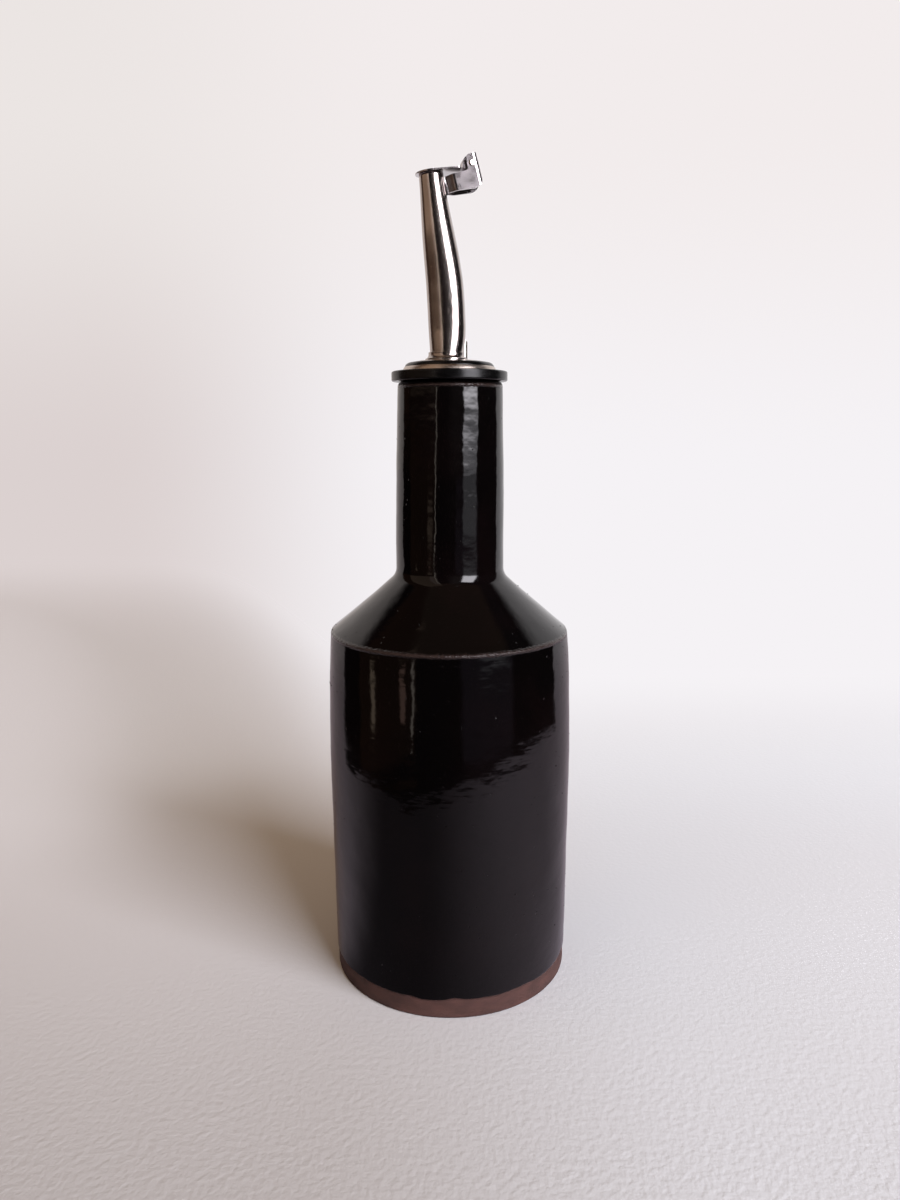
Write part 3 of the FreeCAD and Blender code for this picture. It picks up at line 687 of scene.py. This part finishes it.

# The sheet is round in front and runs back to the wall between two slanting edges, an outline that only
# reflections see. Past them a reflection passes through the floor into the dark room, as over a table's
# edge: painted reflection, for glossy rays only.
SHEET_MIDDLE = (0.035, 0.045, 0.0)
SHEET_REACH = 0.262
SHEET_SLANT = 0.54
SHEET_BACK = -0.054
away = add_node(tree, "ShaderNodeVectorMath", {0: place, 1: SHEET_MIDDLE}, operation="DISTANCE")
on_sheet = add_node(tree, "ShaderNodeMapRange",
                    {"Value": away, "From Min": SHEET_REACH - 0.006, "From Max": SHEET_REACH + 0.006,
                     "To Min": 1.0, "To Max": 0.0}, interpolation_type="SMOOTHSTEP")
aside = add_node(tree, "ShaderNodeMath", {0: apart["X"]}, operation="ABSOLUTE")
slant = add_node(tree, "ShaderNodeMath", {0: aside, 1: SHEET_SLANT}, operation="MULTIPLY")
past_slant = add_node(tree, "ShaderNodeMath", {0: apart["Y"], 1: slant}, operation="SUBTRACT")
behind = add_node(tree, "ShaderNodeMapRange",
                  {"Value": past_slant, "From Min": SHEET_BACK - 0.02, "From Max": SHEET_BACK + 0.02},
                  interpolation_type="SMOOTHSTEP")
shown = add_node(tree, "ShaderNodeMath", {0: on_sheet, 1: behind}, operation="MAXIMUM")

# Painted shade in reflections: for glossy rays the near part of the sheet is mixed with a dark shader,
# lighter to both sides and far back.
towards = add_node(tree, "ShaderNodeMath", {0: apart["Y"], 1: -1.0}, operation="MULTIPLY")
bearing = add_node(tree, "ShaderNodeMath", {0: apart["X"], 1: towards}, operation="ARCTAN2")
to_right = add_node(tree, "ShaderNodeMapRange",
                    {"Value": bearing, "From Min": math.radians(-22), "From Max": math.radians(50),
                     "To Min": 0.14, "To Max": 0.76}, interpolation_type="SMOOTHSTEP")
less = add_node(tree, "ShaderNodeMapRange",
                {"Value": bearing, "From Min": math.radians(62), "From Max": math.radians(95),
                 "To Min": 1.0, "To Max": 0.78}, interpolation_type="SMOOTHSTEP")
to_right = add_node(tree, "ShaderNodeMath", {0: to_right, 1: less}, operation="MULTIPLY")
to_left = add_node(tree, "ShaderNodeMapRange",
                   {"Value": bearing, "From Min": math.radians(-95), "From Max": math.radians(-55),
                    "To Min": 0.5, "To Max": 0.0}, interpolation_type="SMOOTHSTEP")
far_off = add_node(tree, "ShaderNodeVectorMath", {0: place}, operation="LENGTH")
far_light = add_node(tree, "ShaderNodeMapRange",
                     {"Value": far_off, "From Min": 0.3, "From Max": 0.9, "To Min": 0.0,
                      "To Max": 0.95}, interpolation_type="SMOOTHSTEP")
near_light = add_node(tree, "ShaderNodeMath", {0: to_right, 1: to_left}, operation="ADD")
lit = add_node(tree, "ShaderNodeMath", {0: near_light, 1: far_light}, operation="MAXIMUM")
unlit = add_node(tree, "ShaderNodeMath", {0: 1.0, 1: lit}, operation="SUBTRACT")
dim = add_node(tree, "ShaderNodeMath", {0: rays["Is Glossy Ray"], 1: unlit}, operation="MULTIPLY")
off_sheet = add_node(tree, "ShaderNodeMath", {0: 1.0, 1: shown}, operation="SUBTRACT")
missed = add_node(tree, "ShaderNodeMath", {0: rays["Is Glossy Ray"], 1: off_sheet},
                  operation="MULTIPLY")
# Painted shade: a near-black sheet that only reflections show.
painted_reflection_shade = add_node(tree, "ShaderNodeBsdfDiffuse", {"Color": linear("#020202")})
nothing = add_node(tree, "ShaderNodeBsdfTransparent")
blend = add_node(tree, "ShaderNodeMixShader", {0: dim, 1: sheet, 2: painted_reflection_shade})
blend = add_node(tree, "ShaderNodeMixShader", {0: missed, 1: blend, 2: nothing})

# Far back, where a soft sweep would rise to the wall, the sheet's colour turns to the wall's: painted light,
# a glowing emission in the wall's painted colours, seen by the camera and, far off, in reflections.
from_edge = add_node(tree, "ShaderNodeVectorMath", {0: place, 1: (0, CAMERA_AWAY, 0)},
                     operation="ADD")
to_wall = add_node(tree, "ShaderNodeVectorMath", {0: from_edge}, operation="NORMALIZE")
sideways = add_node(tree, "ShaderNodeSeparateXYZ", {0: to_wall}).outputs["X"]
side = add_node(tree, "ShaderNodeMapRange",
                {"Value": sideways, "From Min": WALL_TURN[0], "From Max": WALL_TURN[1]},
                interpolation_type="SMOOTHSTEP")
wall_foot = add_node(tree, "ShaderNodeMix",
                     {0: side, 6: linear(WALL_LOW_LEFT), 7: linear(WALL_LOW_RIGHT)},
                     data_type="RGBA")
backdrop = add_node(tree, "ShaderNodeEmission", {"Color": wall_foot})
fade_start = add_node(tree, "ShaderNodeMapRange",
                      {"Value": side, "From Min": 0, "From Max": 1, "To Min": 0.26, "To Max": 0.08},
                      interpolation_type="SMOOTHSTEP")
fade_end = add_node(tree, "ShaderNodeMapRange",
                    {"Value": side, "From Min": 0, "From Max": 1, "To Min": 0.95, "To Max": 0.36},
                    interpolation_type="SMOOTHSTEP")
fade = add_node(tree, "ShaderNodeMapRange",
                {"Value": apart["Y"], "From Min": fade_start, "From Max": fade_end},
                interpolation_type="SMOOTHSTEP")
# Painted light: far to the left, past the foot, the camera sees the sheet turn to the glowing wall colour,
# which pales the cast shadow's far end.
far_left = add_node(tree, "ShaderNodeMapRange",
                    {"Value": sideways, "From Min": -0.46, "From Max": -0.3, "To Min": 0.6,
                     "To Max": 0.0}, interpolation_type="SMOOTHSTEP")
past_foot = add_node(tree, "ShaderNodeMapRange",
                     {"Value": apart["Y"], "From Min": 0.0, "From Max": 0.12},
                     interpolation_type="SMOOTHSTEP")
past_shadow = add_node(tree, "ShaderNodeMath", {0: far_left, 1: past_foot}, operation="MULTIPLY")
fade = add_node(tree, "ShaderNodeMath", {0: fade, 1: past_shadow}, operation="MAXIMUM")
seen_fade = add_node(tree, "ShaderNodeMath", {0: fade, 1: rays["Is Camera Ray"]},
                     operation="MULTIPLY")
far_glow = add_node(tree, "ShaderNodeMath", {0: far_light, 1: shown}, operation="MULTIPLY")
far_glow = add_node(tree, "ShaderNodeMath", {0: far_glow, 1: rays["Is Glossy Ray"]},
                    operation="MULTIPLY")
seen_fade = add_node(tree, "ShaderNodeMath", {0: seen_fade, 1: far_glow}, operation="MAXIMUM")
blend = add_node(tree, "ShaderNodeMixShader", {0: seen_fade, 1: blend, 2: backdrop})
add_node(tree, "ShaderNodeOutputMaterial", {"Surface": blend})
floor_mesh.materials.append(paper)

# The room: pale wall behind, dark in front, with what a polished thing would show of it.
# Each panel has its bearing and elevation in degrees, a soft edge, a colour and a strength.
PANELS = (
    ("ceiling", (-200, 200), (55, 99), 5.0, "#8c7464", 0.42),
    ("brown_wall_foot", (-92, -30), (-21, 3), 2.0, "#7a5b4a", 0.35),
    ("brown_wall", (-94, -29), (6.0, 72), 2.5, "#a68d7a", 0.95),
    ("left_corner", (-120, -94), (2, 70), 3.0, "#4a3428", 1.0),
    ("door_gap", (-78, -73.5), (-17.6, -10), 0.9, "#d8c0a8", 1.6),
    ("curtain_edge", (-44.5, -39.5), (-15.5, -9.5), 0.9, "#cca496", 1.5),
    ("curtain_slit", (-33.3, -31.5), (-18.3, -8.5), 0.8, "#e0d4c8", 2.0),
    ("curtain_glow", (-47, -36), (-6, -3), 2.5, "#b09a88", 1.5),
    ("thin_slit", (-30.6, -29.2), (-7, 60), 0.7, "#e0d4c8", 3.2),
    ("tube_slit", (-42, -33), (7, 60), 2.5, "#d8bfb4", 0.85),
    ("far_room", (0, 30), (4, 60), 12.0, "#a8a0a0", 0.35),
    ("right_corner", (62, 120), (3, 60), 3.0, "#4a4448", 0.4),
    ("sill", (12, 62), (-19, -2), 3.0, "#5a5460", 0.9),
    ("window_foot", (28.5, 60), (-7, -1), 2.0, "#f0f0f8", 0.8),
    ("window_low", (28.5, 60), (-1, 2.4), 0.8, "#f4f2fa", 1.9),
    ("window", (28, 60), (2.4, 46), 1.2, "#fbf8ff", 5.0),
    ("window_sky", (29, 59), (5, 44), 2.5, "#fbf8ff", 13.0),
)
WALL_FROM = 118                   # bearing where the pale wall starts, on both sides
world = bpy.data.worlds.new("room")
bpy.context.scene.world = world
world.use_nodes = True
tree = world.node_tree
tree.nodes.clear()
gaze = add_node(tree, "ShaderNodeTexCoord").outputs["Generated"]
turned_gaze = add_node(tree, "ShaderNodeVectorRotate", {"Vector": gaze, "Angle": -TURN},
                       rotation_type="Z_AXIS")
apart = add_node(tree, "ShaderNodeSeparateXYZ", {0: turned_gaze}).outputs
towards = add_node(tree, "ShaderNodeMath", {0: apart["Y"], 1: -1.0}, operation="MULTIPLY")
bearing = add_node(tree, "ShaderNodeMath", {0: apart["X"], 1: towards}, operation="ARCTAN2")
bearing = add_node(tree, "ShaderNodeMath", {0: bearing}, operation="DEGREES")
elevation = add_node(tree, "ShaderNodeMath", {0: apart["Z"]}, operation="ARCSINE")
elevation = add_node(tree, "ShaderNodeMath", {0: elevation}, operation="DEGREES")
room = linear("#1c181a")
for name, across, upward, soft, code, strength in PANELS:
    mask = None
    for value, (low, high) in ((bearing, across), (elevation, upward)):
        rise = add_node(tree, "ShaderNodeMapRange",
                        {"Value": value, "From Min": low - soft, "From Max": low + soft},
                        interpolation_type="SMOOTHSTEP")
        fall = add_node(tree, "ShaderNodeMapRange",
                        {"Value": value, "From Min": high - soft, "From Max": high + soft,
                         "To Min": 1.0, "To Max": 0.0}, interpolation_type="SMOOTHSTEP")
        both = add_node(tree, "ShaderNodeMath", {0: rise, 1: fall}, operation="MULTIPLY")
        mask = add_node(tree, "ShaderNodeMath", {0: mask, 1: both}, operation="MULTIPLY") if mask else both
    bright = [channel * strength for channel in linear(code)[:3]] + [1]
    room = add_node(tree, "ShaderNodeMix", {0: mask, 6: room, 7: bright}, data_type="RGBA")
turned_away = add_node(tree, "ShaderNodeMath", {0: bearing}, operation="ABSOLUTE")
wall_mask = add_node(tree, "ShaderNodeMapRange",
                     {"Value": turned_away, "From Min": WALL_FROM - 2.5, "From Max": WALL_FROM + 2.5},
                     interpolation_type="SMOOTHSTEP")
high_mask = add_node(tree, "ShaderNodeMapRange",
                     {"Value": elevation, "From Min": 36.0, "From Max": 47.0, "To Min": 1.0,
                      "To Max": 0.0}, interpolation_type="SMOOTHSTEP")
wall_left = add_node(tree, "ShaderNodeMapRange",
                     {"Value": bearing, "From Min": -60.0, "From Max": 60.0},
                     interpolation_type="SMOOTHSTEP")
wall_colour = add_node(tree, "ShaderNodeMix",
                       {0: wall_left, 6: linear("#e0d6d2"), 7: linear("#f4f0f2")}, data_type="RGBA")
wall_mask = add_node(tree, "ShaderNodeMath", {0: wall_mask, 1: high_mask}, operation="MULTIPLY")
room = add_node(tree, "ShaderNodeMix", {0: wall_mask, 6: room, 7: wall_colour}, data_type="RGBA")
# The wall that the camera sees carries the same painted light: darker to the left, most of all low down.
view_side = add_node(tree, "ShaderNodeMapRange",
                     {"Value": apart["X"], "From Min": WALL_TURN[0], "From Max": WALL_TURN[1]},
                     interpolation_type="SMOOTHSTEP")
low_wall = add_node(tree, "ShaderNodeMix",
                    {0: view_side, 6: linear(WALL_LOW_LEFT), 7: linear(WALL_LOW_RIGHT)},
                    data_type="RGBA")
high_wall = add_node(tree, "ShaderNodeMix",
                     {0: view_side, 6: linear(WALL_HIGH_LEFT), 7: linear(WALL_HIGH_RIGHT)},
                     data_type="RGBA")
up_the_wall = add_node(tree, "ShaderNodeMapRange",
                       {"Value": apart["Z"], "From Min": -0.05, "From Max": 0.3},
                       interpolation_type="SMOOTHSTEP")
seen_wall = add_node(tree, "ShaderNodeMix", {0: up_the_wall, 6: low_wall, 7: high_wall},
                     data_type="RGBA")
rays = add_node(tree, "ShaderNodeLightPath").outputs
pale = add_node(tree, "ShaderNodeBackground", {"Color": seen_wall, "Strength": 1.0})
soft_fill = add_node(tree, "ShaderNodeBackground", {"Color": linear("#fbdfc0"), "Strength": 0.29})
reflected = add_node(tree, "ShaderNodeBackground", {"Color": room, "Strength": 1.0})
mix = add_node(tree, "ShaderNodeMixShader",
               {0: rays["Is Glossy Ray"], 1: soft_fill, 2: reflected})
mix = add_node(tree, "ShaderNodeMixShader", {0: rays["Is Camera Ray"], 1: mix, 2: pale})
add_node(tree, "ShaderNodeOutputWorld", {"Surface": mix})


def soft_light(name, energy, code, sides, bearing, away, height, aim_height):
    """An area light that only lights: in a reflection the panels of the room stand for it."""
    data = bpy.data.lights.new(name, "AREA")
    data.shape = "RECTANGLE"
    data.size, data.size_y = sides
    data.energy = energy
    data.color = linear(code)[:3]
    light = bpy.data.objects.new(name, data)
    turn = math.radians(bearing)
    spot = Vector((math.sin(turn), -math.cos(turn), 0)) * away
    light.location = Matrix.Rotation(TURN, 3, "Z") @ spot + Vector((0, 0, height))
    aim = Vector((0, 0, aim_height)) - light.location
    light.rotation_euler = aim.to_track_quat("-Z", "Y").to_euler()
    light.visible_camera = False
    light.visible_glossy = False
    bpy.context.scene.collection.objects.link(light)


# The window is large and low enough to throw the shadow far back. The rest of the room
# gives back a little warm light from the left.
soft_light("window", 62.0, "#ecf3ff", (1.15, 1.1), 41, 1.6, 0.74, 0.12)
soft_light("room_bounce", 4.0, "#f8dcc4", (1.8, 1.8), -65, 1.5, 1.2, 0.05)

# A hand-held view from just below the flange, looking a little down.
CAMERA_PITCH = math.radians(10.67)
CAMERA_YAW = math.radians(-0.07)
CAMERA_ROLL = math.radians(-0.09)
CAMERA_ASIDE = -0.0003
CAMERA_LENS = 27.15               # millimetres, for a frame 36 mm high
camera_data = bpy.data.cameras.new("camera")
camera_data.sensor_fit = "VERTICAL"
camera_data.sensor_height = 36.0
camera_data.lens = CAMERA_LENS
camera_data.clip_start = 0.01
camera = bpy.data.objects.new("camera", camera_data)
heading = Matrix.Rotation(TURN, 4, "Z")
stand = heading @ Matrix.Translation((CAMERA_ASIDE, -CAMERA_AWAY, CAMERA_HEIGHT))
tilt = (Matrix.Rotation(CAMERA_YAW, 4, "Z") @ Matrix.Rotation(math.radians(90) - CAMERA_PITCH, 4, "X")
        @ Matrix.Rotation(CAMERA_ROLL, 4, "Z"))
camera.matrix_world = stand @ tilt
bpy.context.scene.collection.objects.link(camera)
bpy.context.scene.camera = camera
bpy.context.scene.view_settings.view_transform = "Standard"

sizes = {"cad": [list(corner) for corner in CAD_BOX],
         "visual": [list(corner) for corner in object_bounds()]}
